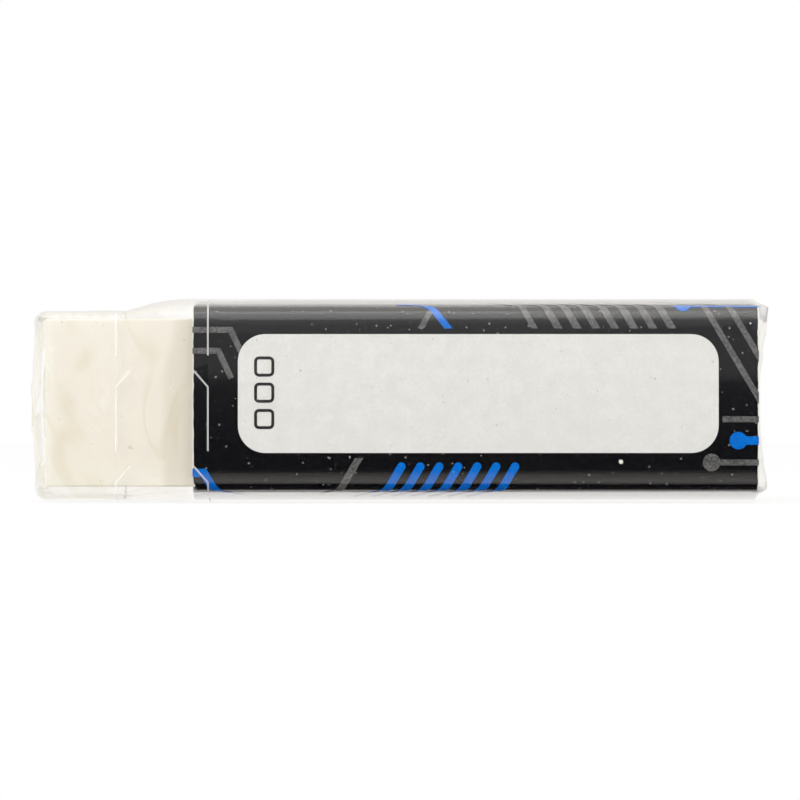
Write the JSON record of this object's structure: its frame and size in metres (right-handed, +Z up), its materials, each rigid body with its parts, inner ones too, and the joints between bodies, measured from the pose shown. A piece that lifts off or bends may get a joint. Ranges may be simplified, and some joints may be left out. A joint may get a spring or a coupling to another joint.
{
  "type": "rubber eraser",
  "caption": "Small block eraser in a printed card sleeve, wrapped in clear perforated shrink film.",
  "frame": {"origin": "under the middle of the whole wrapped eraser, on the surface that it lies on", "axes": "+X along the length, from the bare end to the sleeve's closed-up end; +Y towards the back, so that the name panel faces -Y; +Z up from the wide side that it lies on"},
  "size_m": [0.0447, 0.0178, 0.0124],
  "materials": {
    "block": "soft matt, slightly translucent",
    "card": "gloss varnish",
    "panel": "uncoated, matt",
    "blue_ink": "gloss varnish",
    "grey_ink": "gloss varnish",
    "film": "clear, glossy"
  },
  "bodies": {
    "root": {"eraser_block": "block", "card_sleeve": "card", "name_panel": "panel", "print_blue": "blue_ink", "print_grey": "grey_ink", "shrink_film": "film"}
  },
  "joints": []
}
